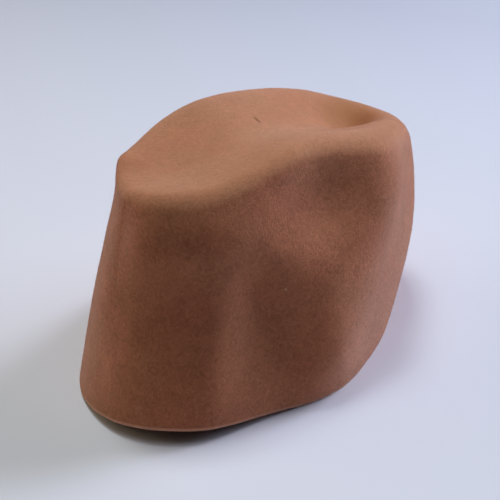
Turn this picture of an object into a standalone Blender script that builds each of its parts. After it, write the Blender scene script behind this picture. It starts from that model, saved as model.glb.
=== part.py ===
"""Creased felt cap: one hollow piece of blocked wool felt, open at the bottom.

Metres, +Z up. +X points to the front end of the cap, the end that leans outward.
The rim rests on the floor at Z = 0, and the long dent in the crown runs along X.
"""
from bisect import bisect_right
from collections import namedtuple
from math import cos, exp, pi, radians, sin

import bmesh
import bpy
from mathutils import Vector

# Driving dimensions
FELT_THICKNESS = 0.0025
CREST_HEIGHT = 0.136
CREASE_FRONT = 0.0875
CREASE_BACK = 0.053
CREASE_EVENNESS = 0.3
END_FADE = 0.018

# Mesh fineness
STEPS_AROUND = 88
STEPS_UP_WALL = 12
STEPS_OVER_RIDGE = 4
STEPS_INTO_DENT = 6

# CREASE_FRONT and CREASE_BACK are how far the dent in the crown runs from the middle. At an
# evenness of 1 the points along it are evenly spaced, and at 0 they crowd toward its ends.
# END_FADE is how far from the middle plane the wall's dents have faded in at the two ends.

# Plan outline of the wall at shares of the way up to the ridge. Full is how square the end
# is in plan and tip how sharply it closes (0.5 is a round end).
Outline = namedtuple("Outline", "rise front back half_width front_full front_tip back_full back_tip")
WALL = (
    Outline(0.0, 0.1085, 0.1145, 0.0757, 1.55, 0.58, 1.65, 0.50),
    Outline(0.5, 0.1198, 0.1000, 0.0696, 2.12, 0.54, 1.90, 0.58),
    Outline(1.0, 0.1216, 0.0861, 0.0504, 2.70, 0.50, 2.17, 0.67),
)

# How far the crest and the bottom of the crease lie below the highest point of the crest,
# from the back end (-1) to the front end (1).
Profile = namedtuple("Profile", "station crest_drop crease_depth")
CROWN = (
    Profile(-1.0, 0.0150, 0.0012),
    Profile(-0.5, 0.0060, 0.0069),
    Profile(0.0, 0.0000, 0.0081),
    Profile(0.4, 0.0055, 0.0133),
    Profile(0.8, 0.0175, 0.0212),
    Profile(1.0, 0.0270, 0.0180),
)

# Radius of the rolled ridge, by direction round the crown in degrees from the front.
Roll = namedtuple("Roll", "direction radius")
RIDGE = (
    Roll(0, 0.016),
    Roll(90, 0.013),
    Roll(150, 0.008),
    Roll(200, 0.0075),
    Roll(270, 0.0125),
    Roll(360, 0.016),
)

# Soft dents (push below zero) and swellings of the side wall. Side is -1 for the near wall and
# 1 for the far wall, lean turns the long way of the dent up toward the front.
Dent = namedtuple("Dent", "side along up length height lean push")
WALL_DENTS = (
    Dent(1, -0.068, 0.126, 0.014, 0.008, 0, 0.003),
    Dent(1, 0.008, 0.106, 0.034, 0.020, 10, -0.004),
    Dent(1, -0.050, 0.048, 0.041, 0.022, 90, -0.0035),
    Dent(1, 0.050, 0.095, 0.024, 0.024, 0, 0.004),
    Dent(1, -0.004, 0.042, 0.030, 0.028, 0, 0.004),
    Dent(-1, -0.003, 0.110, 0.029, 0.019, -3, -0.0062),
    Dent(-1, 0.049, 0.098, 0.020, 0.011, -4, -0.0018),
    Dent(-1, 0.030, 0.110, 0.016, 0.010, 0, -0.0011),
    Dent(-1, -0.028, 0.087, 0.050, 0.016, -36, 0.0017),
    Dent(-1, 0.054, 0.102, 0.021, 0.022, 96, 0.0073),
    Dent(-1, 0.038, 0.107, 0.058, 0.023, 68, 0.0082),
    Dent(-1, -0.046, 0.074, 0.011, 0.011, 4, -0.0021),
    Dent(-1, -0.050, 0.051, 0.035, 0.017, 84, -0.0060),
    Dent(-1, -0.027, 0.043, 0.043, 0.015, 69, -0.0032),
    Dent(-1, -0.013, 0.029, 0.026, 0.028, -5, 0.0078),
    Dent(-1, -0.079, 0.104, 0.035, 0.019, 9, 0.0085),
    Dent(-1, -0.031, 0.062, 0.042, 0.014, 78, -0.0013),
    Dent(-1, -0.098, 0.061, 0.049, 0.021, 66, 0.0028),
    Dent(-1, -0.068, 0.049, 0.039, 0.011, 77, 0.0050),
)

# The wall's foot is bent up off the floor and outward, most at one place of its near side and
# not at all beyond the reach. Toward is the direction of the outward bend in degrees.
Bend = namedtuple("Bend", "along across reach rise out toward")
FOOT_BEND = Bend(-0.078, -0.052, 0.075, 0.005, 0.0083, 228)

FELT_COLOUR = (0.42, 0.20, 0.12, 1.0)
FELT_ROUGHNESS = 0.95


def row_at(table, place):
    """Row of a table at a place between its rows, on a smooth curve through them."""
    keys = [row[0] for row in table]
    upper = min(max(bisect_right(keys, place), 1), len(table) - 1)
    low, high = table[upper - 1], table[upper]
    before = table[max(upper - 2, 0)]
    after = table[min(upper + 1, len(table) - 1)]
    span = high[0] - low[0]
    share = (place - low[0]) / span
    values = []
    for p, a, b, n in zip(before, low, high, after):
        slope_low = (b - p) / (high[0] - before[0]) * span
        slope_high = (n - a) / (after[0] - low[0]) * span
        squared, cubed = share ** 2, share ** 3
        values.append(
            a * (2 * cubed - 3 * squared + 1)
            + slope_low * (cubed - 2 * squared + share)
            + b * (3 * squared - 2 * cubed)
            + slope_high * (cubed - squared)
        )
    return type(low)(*values)


def outline_point(outline, angle, inset):
    """Point of a plan outline in one direction, moved in from the outline."""
    toward = cos(angle)
    at_front = toward > 0
    reach = (outline.front if at_front else outline.back) - inset
    full = outline.front_full if at_front else outline.back_full
    tip = outline.front_tip if at_front else outline.back_tip
    width = (outline.half_width - inset) * max(1 - abs(toward) ** full, 0) ** tip
    return reach * toward, width if angle <= pi else -width


def crest_height(angle):
    return CREST_HEIGHT - row_at(CROWN, cos(angle)).crest_drop


def push_at(place):
    """Total outward push of the wall dents at one place, fading out at the wall's two ends."""
    share = min(abs(place.y) / END_FADE, 1)
    fade = share * share * (3 - 2 * share)
    total = 0
    for dent in WALL_DENTS:
        if dent.side * place.y < 0:
            continue
        lean = radians(dent.lean)
        dx, dz = place.x - dent.along, place.z - dent.up
        u = (dx * cos(lean) + dz * sin(lean)) / dent.length
        v = (dz * cos(lean) - dx * sin(lean)) / dent.height
        total += fade * dent.push * exp(-u * u - v * v)
    return total


def outside_rings():
    """Rings of points of the cap's outer face, from the rim over the ridge into the crown."""
    angles = [2 * pi * step / STEPS_AROUND for step in range(STEPS_AROUND)]
    rolls = [row_at(RIDGE, angle * 180 / pi).radius for angle in angles]
    crests = [crest_height(angle) for angle in angles]
    rings = []
    for step in range(STEPS_UP_WALL + 1):
        rise = step / STEPS_UP_WALL
        outline = row_at(WALL, rise)
        ring = []
        for angle, roll, crest in zip(angles, rolls, crests):
            x, y = outline_point(outline, angle, 0)
            ring.append(Vector((x, y, rise * (crest - roll))))
        rings.append(ring)
    for step in range(1, STEPS_OVER_RIDGE + 1):
        turn = pi / 2 * step / STEPS_OVER_RIDGE
        ring = []
        for angle, roll, crest in zip(angles, rolls, crests):
            x, y = outline_point(WALL[-1], angle, roll * (1 - cos(turn)))
            ring.append(Vector((x, y, crest - roll * (1 - sin(turn)))))
        rings.append(ring)
    crest_ring = rings[-1]
    for step in range(1, STEPS_INTO_DENT + 1):
        share = step / STEPS_INTO_DENT
        sunk = share * share * (3 - 2 * share)
        ring = []
        for angle, crest_point in zip(angles, crest_ring):
            even = 1 - 2 * min(angle, 2 * pi - angle) / pi
            along = (1 - CREASE_EVENNESS) * cos(angle) + CREASE_EVENNESS * even
            along *= CREASE_FRONT if along > 0 else CREASE_BACK
            crown = row_at(CROWN, along / (WALL[-1].front if along > 0 else WALL[-1].back))
            crease = Vector((along, 0, CREST_HEIGHT - crown.crest_drop - crown.crease_depth))
            point = crest_point.lerp(crease, share)
            point.z = crest_point.z + (crease.z - crest_point.z) * sunk
            ring.append(point)
        rings.append(ring)
    return rings


def dent_wall(rings):
    """Pushes the side wall in and out where the felt is dented, but not its rim's height."""
    for ring in rings:
        moved = []
        for step, point in enumerate(ring):
            ahead = ring[(step + 1) % len(ring)] - ring[step - 1]
            outward = Vector((ahead.y, -ahead.x, 0)).normalized()
            moved.append(point + outward * push_at(point))
        ring[:] = moved


def skin(rings):
    """Open shell through the rings, closed along the crease, where the last ring is a line."""
    mesh = bmesh.new()
    grid = []
    for ring in rings[:-1]:
        grid.append([mesh.verts.new(point) for point in ring])
    half = STEPS_AROUND // 2
    crease = [mesh.verts.new(point) for point in rings[-1][: half + 1]]
    grid.append(crease + crease[-2:0:-1])
    for lower, upper in zip(grid, grid[1:]):
        for step in range(STEPS_AROUND):
            after = (step + 1) % STEPS_AROUND
            mesh.faces.new((lower[step], lower[after], upper[after], upper[step]))
    data = bpy.data.meshes.new("felt_cap")
    mesh.to_mesh(data)
    mesh.free()
    return data


def felt():
    material = bpy.data.materials.new("felt")
    material.use_nodes = True
    shader = material.node_tree.nodes["Principled BSDF"]
    shader.inputs["Base Color"].default_value = FELT_COLOUR
    shader.inputs["Roughness"].default_value = FELT_ROUGHNESS
    shader.inputs["Metallic"].default_value = 0.0
    return material


def thicken(cap):
    """Gives the shell its felt thickness inward and sets the cut edge flat on the floor."""
    solidify = cap.modifiers.new("thickness", "SOLIDIFY")
    solidify.thickness = FELT_THICKNESS
    solidify.offset = -1
    solidify.use_even_offset = True
    bpy.context.view_layer.objects.active = cap
    bpy.ops.object.modifier_apply(modifier=solidify.name)
    for vertex in cap.data.vertices:
        if vertex.co.z < FELT_THICKNESS / 2:
            vertex.co.z = 0


def bend_foot(cap):
    """Bends the foot of the wall up and out at one place, less and less with distance."""
    spot = Vector((FOOT_BEND.along, FOOT_BEND.across, 0))
    toward = radians(FOOT_BEND.toward)
    full = Vector((FOOT_BEND.out * cos(toward), FOOT_BEND.out * sin(toward), FOOT_BEND.rise))
    for vertex in cap.data.vertices:
        near = max(1 - (vertex.co - spot).length / FOOT_BEND.reach, 0)
        vertex.co += full * near * near * (3 - 2 * near)


def centre(cap):
    """Moves the cap along X and Y so that its bounding box is centred over the origin."""
    for axis in (0, 1):
        reach = [vertex.co[axis] for vertex in cap.data.vertices]
        middle = (min(reach) + max(reach)) / 2
        for vertex in cap.data.vertices:
            vertex.co[axis] -= middle


for old in list(bpy.data.objects):
    bpy.data.objects.remove(old)

outer_face = outside_rings()
dent_wall(outer_face)
felt_cap = bpy.data.objects.new("felt_cap", skin(outer_face))
bpy.context.scene.collection.objects.link(felt_cap)
felt_cap.data.materials.append(felt())
thicken(felt_cap)
bend_foot(felt_cap)
centre(felt_cap)
felt_cap.data.shade_smooth()
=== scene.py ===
from math import cos, pi, radians, sin

import bmesh
import bpy
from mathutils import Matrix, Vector
from mathutils.kdtree import KDTree


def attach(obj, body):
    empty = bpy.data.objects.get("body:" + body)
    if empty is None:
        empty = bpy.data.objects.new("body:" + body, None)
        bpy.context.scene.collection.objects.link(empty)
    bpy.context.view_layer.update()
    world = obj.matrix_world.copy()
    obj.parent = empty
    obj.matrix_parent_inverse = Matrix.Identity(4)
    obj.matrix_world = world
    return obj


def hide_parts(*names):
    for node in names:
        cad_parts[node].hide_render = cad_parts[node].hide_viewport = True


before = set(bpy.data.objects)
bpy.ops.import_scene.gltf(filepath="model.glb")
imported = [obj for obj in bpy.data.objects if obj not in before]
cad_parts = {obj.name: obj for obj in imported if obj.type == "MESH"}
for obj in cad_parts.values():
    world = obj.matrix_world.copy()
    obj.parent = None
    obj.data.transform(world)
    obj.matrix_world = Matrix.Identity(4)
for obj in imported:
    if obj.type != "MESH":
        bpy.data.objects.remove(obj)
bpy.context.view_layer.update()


# The felt hood. The real piece is one hood of wool felt, dyed right through, blocked wet over a
# form, dried and brushed, so that wall, rolled ridge and crown are one skin with no seam. Its
# lower edge is only cut, and a thin pale line is painted along it: partly loose fibre, partly
# painted highlight where the edge catches light.
def take(piece):
    bpy.ops.object.select_all(action="DESELECT")
    piece.select_set(True)
    bpy.context.view_layer.objects.active = piece


CUT_EDGE_TOP = 0.012
shell = bpy.data.objects.new("felt_shell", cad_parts["felt_cap"].data.copy())
bpy.context.scene.collection.objects.link(shell)
take(shell)
bpy.ops.object.mode_set(mode="EDIT")
bpy.ops.mesh.select_all(action="SELECT")
bpy.ops.mesh.remove_doubles(threshold=0.00002)
bpy.ops.mesh.tris_convert_to_quads(face_threshold=radians(60), shape_threshold=radians(60))
bpy.ops.mesh.select_all(action="DESELECT")
bpy.ops.object.mode_set(mode="OBJECT")
for face in shell.data.polygons:
    face.select = face.normal.z < -0.8 and face.center.z < CUT_EDGE_TOP
bpy.ops.object.mode_set(mode="EDIT")
bpy.ops.mesh.select_mode(type="FACE")
bpy.ops.mesh.region_to_loop()
bpy.ops.transform.edge_crease(value=0.8)
bpy.ops.mesh.select_mode(type="VERT")

# Wear and handling left five places off the block's shape: the foot's rear is bent up off the
# floor, the crown's rear end comes to a small corner with the ridge higher beside it, the dip is
# pressed deeper toward the front, and the front end's upper corner is rounded off.
for held, grip, pull, falloff, reach in (
    ((-0.106, -0.028, 0.003), 0.010, (-0.0035, -0.0030, 0.0048), "SMOOTH", 0.055),
    ((-0.0675, 0.029, 0.1235), 0.004, (-0.0005, 0.0018, 0.0016), "SHARP", 0.014),
    ((-0.084, -0.013, 0.1205), 0.006, (0.0006, 0.0006, 0.0030), "SMOOTH", 0.030),
    ((0.080, 0.012, 0.112), 0.005, (0, 0, -0.0035), "SMOOTH", 0.026),
    ((0.1035, -0.0215, 0.107), 0.005, (-0.0019, 0.0005, -0.0015), "SMOOTH", 0.022),
):
    bpy.ops.mesh.select_all(action="DESELECT")
    bpy.ops.object.mode_set(mode="OBJECT")
    for vertex in shell.data.vertices:
        vertex.select = (vertex.co - Vector(held)).length < grip
    bpy.ops.object.mode_set(mode="EDIT")
    bpy.ops.transform.translate(
        value=pull, use_proportional_edit=True,
        proportional_edit_falloff=falloff, proportional_size=reach,
    )
bpy.ops.object.mode_set(mode="OBJECT")

rounding = shell.modifiers.new("rounding", "SUBSURF")
rounding.levels = 2
rounding.render_levels = 2
bpy.ops.object.modifier_apply(modifier=rounding.name)
uneven = bpy.data.textures.new("uneven", "CLOUDS")
uneven.noise_scale = 0.014
uneven.noise_depth = 2
wave = shell.modifiers.new("uneven", "DISPLACE")
wave.texture = uneven
wave.texture_coords = "LOCAL"
wave.strength = 0.0005
bpy.ops.object.modifier_apply(modifier=wave.name)
bpy.ops.object.shade_smooth()

# Two measures stay on the mesh for the felt's colour: how far a point lies from the cut edge,
# and how much painted warm light it takes: most where it faces up, on the crown, and less
# toward its front end.
cut_edge = KDTree(len(shell.data.polygons))
for face in shell.data.polygons:
    if face.normal.z < -0.7 and face.center.z < CUT_EDGE_TOP:
        cut_edge.insert(face.center, face.index)
cut_edge.balance()
off_edge = shell.data.attributes.new("off_edge", "FLOAT", "POINT")
for vertex in shell.data.vertices:
    off_edge.data[vertex.index].value = cut_edge.find(vertex.co)[2]
# Painted warm light: the more a point faces up, the more its dye is painted yellower and paler, less
# toward the front end.
painted_top_light = shell.data.attributes.new("painted_top_light", "FLOAT", "POINT")
for vertex in shell.data.vertices:
    up = min(max((vertex.normal.z - 0.35) / 0.45, 0), 1)
    forward = min(max((vertex.co.x - 0.01) / 0.08, 0), 1)
    painted_top_light.data[vertex.index].value = up * up * (3 - 2 * up) * (1 - 0.5 * forward)


def wire(tree, *pairs):
    for start, end in pairs:
        tree.links.new(start, end)


def colour_mix(tree, blend="MIX", **ends):
    mix = tree.nodes.new("ShaderNodeMix")
    mix.data_type = "RGBA"
    mix.blend_type = blend
    for end, colour in ends.items():
        mix.inputs[end].default_value = (*colour, 1)
    return mix


def ramp(tree, zero_at, one_at, interpolation="LINEAR"):
    node = tree.nodes.new("ShaderNodeMapRange")
    node.interpolation_type = interpolation
    node.inputs["From Min"].default_value = zero_at
    node.inputs["From Max"].default_value = one_at
    return node


# The dye, a little uneven in patches, with painted warm light: yellower and paler where the felt
# faces up.
dye_tint_and_painted_light = bpy.data.node_groups.new("dye_tint_and_painted_light", "ShaderNodeTree")
dye_tint_and_painted_light.interface.new_socket("Dye", in_out="INPUT", socket_type="NodeSocketColor")
dye_tint_and_painted_light.interface.new_socket("Color", in_out="OUTPUT", socket_type="NodeSocketColor")
dyed = dye_tint_and_painted_light.nodes.new("NodeGroupInput")
tinted_and_lit = dye_tint_and_painted_light.nodes.new("NodeGroupOutput")
# The painted warm light, read from the mesh, turns the dye yellower and paler.
painted_light_mask = dye_tint_and_painted_light.nodes.new("ShaderNodeAttribute")
painted_light_mask.attribute_name = "painted_top_light"
painted_warm_light = colour_mix(dye_tint_and_painted_light, "MULTIPLY", B=(1.15, 1.34, 1.31))
half = dye_tint_and_painted_light.nodes.new("ShaderNodeMath")
half.operation = "MULTIPLY"
half.inputs[1].default_value = 0.5
painted_pale_light = colour_mix(dye_tint_and_painted_light, B=(0.55, 0.235, 0.125))
dye_place = dye_tint_and_painted_light.nodes.new("ShaderNodeTexCoord")
patches = dye_tint_and_painted_light.nodes.new("ShaderNodeTexNoise")
patches.inputs["Scale"].default_value = 28
patches.inputs["Detail"].default_value = 1.5
patch = ramp(dye_tint_and_painted_light, 0.35, 0.65)
tint = colour_mix(dye_tint_and_painted_light, A=(1.01, 0.98, 0.98), B=(0.98, 1.03, 1.01))
tinted = colour_mix(dye_tint_and_painted_light, "MULTIPLY")
tinted.inputs["Factor"].default_value = 1
wire(
    dye_tint_and_painted_light,
    (painted_light_mask.outputs["Fac"], painted_warm_light.inputs["Factor"]),
    (dyed.outputs["Dye"], painted_warm_light.inputs["A"]),
    (painted_light_mask.outputs["Fac"], half.inputs[0]),
    (half.outputs[0], painted_pale_light.inputs["Factor"]),
    (painted_warm_light.outputs["Result"], painted_pale_light.inputs["A"]),
    (dye_place.outputs["Object"], patches.inputs["Vector"]),
    (patches.outputs["Fac"], patch.inputs["Value"]),
    (patch.outputs["Result"], tint.inputs["Factor"]),
    (painted_pale_light.outputs["Result"], tinted.inputs["A"]),
    (tint.outputs["Result"], tinted.inputs["B"]),
    (tinted.outputs["Result"], tinted_and_lit.inputs["Color"]),
)

# The tangle of light and deep fibres, from clouds a few centimetres wide down to single hairs.
felt_tones = bpy.data.node_groups.new("felt_tones", "ShaderNodeTree")
felt_tones.interface.new_socket("Deep", in_out="INPUT", socket_type="NodeSocketColor")
felt_tones.interface.new_socket("Light", in_out="INPUT", socket_type="NodeSocketColor")
felt_tones.interface.new_socket("Color", in_out="OUTPUT", socket_type="NodeSocketColor")
felt_tones.interface.new_socket("Height", in_out="OUTPUT", socket_type="NodeSocketFloat")
fibre_colours = felt_tones.nodes.new("NodeGroupInput")
tangled = felt_tones.nodes.new("NodeGroupOutput")
tone_place = felt_tones.nodes.new("ShaderNodeTexCoord")
so_far = None
for scale, share, distortion in (
    (45, 0.45, 0.4),
    (260, 0.9, 2.0),
    (700, 0.8, 3.0),
    (1700, 0.5, 3.0),
):
    tangle = felt_tones.nodes.new("ShaderNodeTexNoise")
    tangle.inputs["Scale"].default_value = scale
    tangle.inputs["Distortion"].default_value = distortion
    added = felt_tones.nodes.new("ShaderNodeMath")
    added.operation = "MULTIPLY_ADD"
    added.inputs[1].default_value = share
    added.inputs[2].default_value = 0
    wire(
        felt_tones,
        (tone_place.outputs["Object"], tangle.inputs["Vector"]),
        (tangle.outputs["Fac"], added.inputs[0]),
    )
    if so_far:
        wire(felt_tones, (so_far, added.inputs[2]))
    so_far = added.outputs[0]
lightness = ramp(felt_tones, 0.95, 1.70)
fibres_seen = colour_mix(felt_tones)
wire(
    felt_tones,
    (so_far, lightness.inputs["Value"]),
    (lightness.outputs["Result"], fibres_seen.inputs["Factor"]),
    (fibre_colours.outputs["Deep"], fibres_seen.inputs["A"]),
    (fibre_colours.outputs["Light"], fibres_seen.inputs["B"]),
    (fibres_seen.outputs["Result"], tangled.inputs["Color"]),
    (lightness.outputs["Result"], tangled.inputs["Height"]),
)


def wool_material(name, sheen):
    material = bpy.data.materials.new(name)
    material.use_nodes = True
    cloth = material.node_tree.nodes["Principled BSDF"]
    cloth.inputs["Roughness"].default_value = 0.95
    cloth.inputs["Specular IOR Level"].default_value = 0.0
    cloth.inputs["Sheen Weight"].default_value = sheen
    cloth.inputs["Sheen Roughness"].default_value = 0.45
    cloth.inputs["Sheen Tint"].default_value = (1.0, 0.84, 0.76, 1.0)
    # The dye group: random patches of tint plus the painted warm light on up-facing felt.
    dye_and_light_group = material.node_tree.nodes.new("ShaderNodeGroup")
    dye_and_light_group.node_tree = dye_tint_and_painted_light
    return material, material.node_tree, cloth, dye_and_light_group


# The felt itself, with a pale line along the cut edge, partly loose fibre and partly painted
# highlight, and three marks: painted shade in the crown's dip, a short brown scratch behind it
# and one pale speck on the near wall. A mark is a soft-edged ellipsoid, given by its centre and
# half sizes.
felt, felt_nodes, felt_cloth, felt_dye_and_light = wool_material("brushed_felt", sheen=0.5)
fibre_tones = felt_nodes.nodes.new("ShaderNodeGroup")
fibre_tones.node_tree = felt_tones
fibre_tones.inputs["Deep"].default_value = (0.30, 0.103, 0.048, 1)
fibre_tones.inputs["Light"].default_value = (0.62, 0.222, 0.112, 1)
from_edge = felt_nodes.nodes.new("ShaderNodeAttribute")
from_edge.attribute_name = "off_edge"
# A thin pale line along the cut edge: partly loose fibre, partly a painted highlight where the edge
# catches light.
edge_fray_and_highlight = ramp(felt_nodes, 0.0023, 0.0013, "SMOOTHSTEP")
wire(
    felt_nodes,
    (fibre_tones.outputs["Color"], felt_dye_and_light.inputs["Dye"]),
    (from_edge.outputs["Fac"], edge_fray_and_highlight.inputs["Value"]),
)
felt_place = felt_nodes.nodes.new("ShaderNodeTexCoord")
marks_and_painted_light = [(edge_fray_and_highlight.outputs["Result"], (0.66, 0.31, 0.19))]
for centre, half_size, colour in (
    # Painted shade: the crown's dip is painted a darker, browner tone.
    ((0.081, 0.014, 0.108), (0.028, 0.017, 0.014), (0.44, 0.182, 0.072)),
    ((0.0113, 0.0124, 0.1283), (0.0012, 0.0032, 0.006), (0.26, 0.090, 0.025)),
    ((-0.0332, -0.0582, 0.0702), (0.00035, 0.002, 0.0007), (0.9, 0.65, 0.5)),
):
    spot = felt_nodes.nodes.new("ShaderNodeMapping")
    spot.vector_type = "TEXTURE"
    spot.inputs["Location"].default_value = centre
    spot.inputs["Scale"].default_value = half_size
    off_centre = felt_nodes.nodes.new("ShaderNodeVectorMath")
    off_centre.operation = "LENGTH"
    soft_rim = ramp(felt_nodes, 1.3, 0.3, "SMOOTHSTEP")
    wire(
        felt_nodes,
        (felt_place.outputs["Object"], spot.inputs["Vector"]),
        (spot.outputs["Vector"], off_centre.inputs[0]),
        (off_centre.outputs["Value"], soft_rim.inputs["Value"]),
    )
    marks_and_painted_light.append((soft_rim.outputs["Result"], colour))
under = felt_dye_and_light.outputs["Color"]
for mask, colour in marks_and_painted_light:
    over = colour_mix(felt_nodes, B=colour)
    wire(felt_nodes, (mask, over.inputs["Factor"]), (under, over.inputs["A"]))
    under = over.outputs["Result"]
relief = felt_nodes.nodes.new("ShaderNodeBump")
relief.inputs["Strength"].default_value = 0.5
relief.inputs["Distance"].default_value = 0.0005
wire(
    felt_nodes,
    (under, felt_cloth.inputs["Base Color"]),
    (fibre_tones.outputs["Height"], relief.inputs["Height"]),
    (relief.outputs["Normal"], felt_cloth.inputs["Normal"]),
)
shell.data.materials.clear()
shell.data.materials.append(felt)
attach(shell, "root")
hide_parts("felt_cap")

# The nap. Brushing lifts the ends of the wool fibres, which lie every way over the outer face,
# with a few that stand well off it. Each fibre is a thin bent sliver about a millimetre long,
# and those of a wall or of the crown are joined into one mesh.
sliver = bpy.data.meshes.new("fibre")
sliver.from_pydata(
    [
        (-0.00003, 0, -0.00004), (0.00003, 0, -0.00004),
        (-0.00002, 0.0004, 0.00005), (0.00004, 0.0004, 0.00005),
        (0.00008, 0.0008, 0.00008), (0.00024, 0.0012, 0.00006),
    ],
    [],
    [(0, 1, 3, 2), (2, 3, 4), (4, 3, 5)],
)
fibre = bpy.data.objects.new("fibre", sliver)
bpy.context.scene.collection.objects.link(fibre)

nap_felt, nap_nodes, nap_cloth, nap_dye_and_light = wool_material("nap_fibre", sheen=0.4)
own_tone = nap_nodes.nodes.new("ShaderNodeAttribute")
own_tone.attribute_name = "tone"
nap_dye = colour_mix(nap_nodes, A=(0.39, 0.138, 0.069), B=(0.57, 0.215, 0.106))
wire(
    nap_nodes,
    (own_tone.outputs["Fac"], nap_dye.inputs["Factor"]),
    (nap_dye.outputs["Result"], nap_dye_and_light.inputs["Dye"]),
    (nap_dye_and_light.outputs["Color"], nap_cloth.inputs["Base Color"]),
)

brush = bpy.data.node_groups.new("brushed_nap", "GeometryNodeTree")
brush.interface.new_socket("Geometry", in_out="INPUT", socket_type="NodeSocketGeometry")
per_area = brush.interface.new_socket("Fibres per m2", in_out="INPUT", socket_type="NodeSocketFloat")
raised = brush.interface.new_socket("Most raised", in_out="INPUT", socket_type="NodeSocketFloat")
brush.interface.new_socket("Geometry", in_out="OUTPUT", socket_type="NodeSocketGeometry")
skin = brush.nodes.new("NodeGroupInput")
brushed = brush.nodes.new("NodeGroupOutput")
roots = brush.nodes.new("GeometryNodeDistributePointsOnFaces")
roots.inputs["Seed"].default_value = 4
one_fibre = brush.nodes.new("GeometryNodeObjectInfo")
one_fibre.inputs["Object"].default_value = fibre
plant = brush.nodes.new("GeometryNodeInstanceOnPoints")
# A random value node's own sockets for plain numbers: its least and most, and what it gives.
LEAST, MOST, GIVEN = 2, 3, 1
chance = {}
for seed, (name, least, most) in enumerate((
    ("rise", 0, 0.5),
    ("spin", 0, 2 * pi),
    ("length", 0.6, 1.5),
    ("tone", 0, 1),
)):
    chance[name] = brush.nodes.new("FunctionNodeRandomValue")
    chance[name].inputs[LEAST].default_value = least
    chance[name].inputs[MOST].default_value = most
    chance[name].inputs["Seed"].default_value = seed
turn = brush.nodes.new("ShaderNodeCombineXYZ")
lay = brush.nodes.new("FunctionNodeRotateRotation")
lay.rotation_space = "LOCAL"
stain = brush.nodes.new("GeometryNodeStoreNamedAttribute")
stain.domain = "INSTANCE"
stain.inputs["Name"].default_value = "tone"
join = brush.nodes.new("GeometryNodeRealizeInstances")
wire(
    brush,
    (skin.outputs["Geometry"], roots.inputs["Mesh"]),
    (skin.outputs["Fibres per m2"], roots.inputs["Density"]),
    (skin.outputs["Most raised"], chance["rise"].inputs[MOST]),
    (chance["rise"].outputs[GIVEN], turn.inputs["X"]),
    (chance["spin"].outputs[GIVEN], turn.inputs["Z"]),
    (turn.outputs["Vector"], lay.inputs["Rotate By"]),
    (roots.outputs["Rotation"], lay.inputs["Rotation"]),
    (roots.outputs["Points"], plant.inputs["Points"]),
    (one_fibre.outputs["Geometry"], plant.inputs["Instance"]),
    (lay.outputs["Rotation"], plant.inputs["Rotation"]),
    (chance["length"].outputs[GIVEN], plant.inputs["Scale"]),
    (plant.outputs["Instances"], stain.inputs["Geometry"]),
    (chance["tone"].outputs[GIVEN], stain.inputs["Value"]),
    (stain.outputs["Geometry"], join.inputs["Geometry"]),
    (join.outputs["Geometry"], brushed.inputs["Geometry"]),
)

BARE_FOOT = 0.001
CROWN_FACING = 0.6
for name, fibres_per_m2, most_raised, grows in (
    ("nap_near_wall", 1.1e6, 0.22, lambda at, facing: facing.z < CROWN_FACING and at.y < 0),
    ("nap_far_wall", 1.1e6, 0.22, lambda at, facing: facing.z < CROWN_FACING and at.y >= 0),
    ("nap_crown", 0.8e6, 0.08, lambda at, facing: facing.z >= CROWN_FACING),
    ("loose_fibres", 0.10e6, 0.9, lambda at, facing: True),
):
    skin_mesh = bmesh.new()
    skin_mesh.from_mesh(shell.data)
    bare = []
    for face in skin_mesh.faces:
        at, facing = face.calc_center_median(), face.normal
        outward = facing.z + facing.dot(Vector((at.x, at.y, 0)).normalized())
        brushable = outward >= 0 and facing.z >= -0.7 and at.z >= BARE_FOOT
        if not (brushable and grows(at, facing)):
            bare.append(face)
    bmesh.ops.delete(skin_mesh, geom=bare, context="FACES")
    nap_mesh = bpy.data.meshes.new(name)
    skin_mesh.to_mesh(nap_mesh)
    skin_mesh.free()
    nap = bpy.data.objects.new(name, nap_mesh)
    bpy.context.scene.collection.objects.link(nap)
    growth = nap.modifiers.new("brushed", "NODES")
    growth.node_group = brush
    growth[per_area.identifier] = fibres_per_m2
    growth[raised.identifier] = most_raised
    take(nap)
    bpy.ops.object.modifier_apply(modifier=growth.name)
    nap.data.materials.clear()
    nap.data.materials.append(nap_felt)
    nap.visible_shadow = False
    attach(nap, "root")
bpy.data.objects.remove(fibre)
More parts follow.
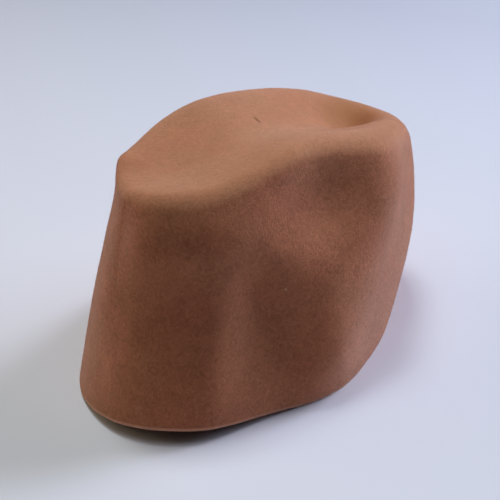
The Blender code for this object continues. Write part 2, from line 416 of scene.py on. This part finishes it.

# The table top the cap stands on: a pale, smooth, matt sheet that runs out of the picture. Its
# colour grows darker and bluer away from the viewer and, less so, toward the right: painted
# falloff of the light across the sheet.
bpy.ops.mesh.primitive_plane_add(size=8, location=(0, 0, 0))
floor = bpy.context.object
floor.name = "floor"
sheet = bpy.data.materials.new("pale_floor")
sheet.use_nodes = True
sheet_nodes = sheet.node_tree
paper = sheet_nodes.nodes["Principled BSDF"]
paper.inputs["Roughness"].default_value = 0.9
paper.inputs["Specular IOR Level"].default_value = 0.1
sheet_place = sheet_nodes.nodes.new("ShaderNodeTexCoord")
distance_away = sheet_nodes.nodes.new("ShaderNodeVectorMath")
distance_away.operation = "DOT_PRODUCT"
distance_away.inputs[1].default_value = (1.04, 0.40, 0)
# Painted light: this ramp darkens the sheet away from the viewer and toward the right.
painted_light_falloff = ramp(sheet_nodes, -0.13, 0.66)
shade = colour_mix(sheet_nodes, A=(0.865, 0.86, 0.92), B=(0.575, 0.585, 0.68))
wire(
    sheet_nodes,
    (sheet_place.outputs["Object"], distance_away.inputs[0]),
    (distance_away.outputs["Value"], painted_light_falloff.inputs["Value"]),
    (painted_light_falloff.outputs["Result"], shade.inputs["Factor"]),
    (shade.outputs["Result"], paper.inputs["Base Color"]),
)
floor.data.materials.append(sheet)

# The light: a window beyond the cap's front end, seen high and low, a cool lamp high over the
# far side, a broad warm one low behind it, and a weak one overhead. All are soft and none
# faces the near wall, which is left in shade.
LIGHT_DISTANCE = 1.6
for name, azimuth, elevation, size, energy, colour in (
    ("window", -9, 50, 0.35, 9.0, (0.81, 0.82, 1.0)),
    ("window_low", -20, 12, 0.9, 20.0, (0.70, 0.81, 1.0)),
    ("top", 60, 75, 0.35, 7.8, (0.87, 0.99, 1.0)),
    ("back_low", 120, 18, 1.8, 11.5, (1.0, 0.87, 0.62)),
    ("overhead", 0, 90, 0.9, 3.6, (0.87, 0.89, 1.0)),
):
    around, above = radians(azimuth), radians(elevation)
    toward = Vector((cos(around) * cos(above), sin(around) * cos(above), sin(above)))
    bpy.ops.object.light_add(type="AREA", location=toward * LIGHT_DISTANCE)
    lamp = bpy.context.object
    lamp.name = name
    lamp.rotation_euler = toward.to_track_quat("Z", "Y").to_euler()
    lamp.data.size = size
    lamp.data.energy = energy
    lamp.data.color = colour

# The camera stands 0.6 m away, behind and to one side of the cap, looking down at its middle.
AIM = Vector((-0.0034, 0.0020, 0.0543))
CAMERA_DISTANCE = 0.598
CAMERA_RAISED = Vector((0, 0, 0.0084))
camera_turn, camera_pitch = radians(42.3), radians(31.0)
away = Vector((
    -sin(camera_turn) * cos(camera_pitch),
    -cos(camera_turn) * cos(camera_pitch),
    sin(camera_pitch),
))
bpy.ops.object.camera_add(location=AIM + CAMERA_RAISED + away * CAMERA_DISTANCE)
camera = bpy.context.object
camera.rotation_euler = (camera.location - AIM).to_track_quat("Z", "Y").to_euler()
camera.data.sensor_width = 36
camera.data.lens = 75.1
bpy.context.scene.camera = camera
bpy.context.scene.view_settings.view_transform = "Standard"
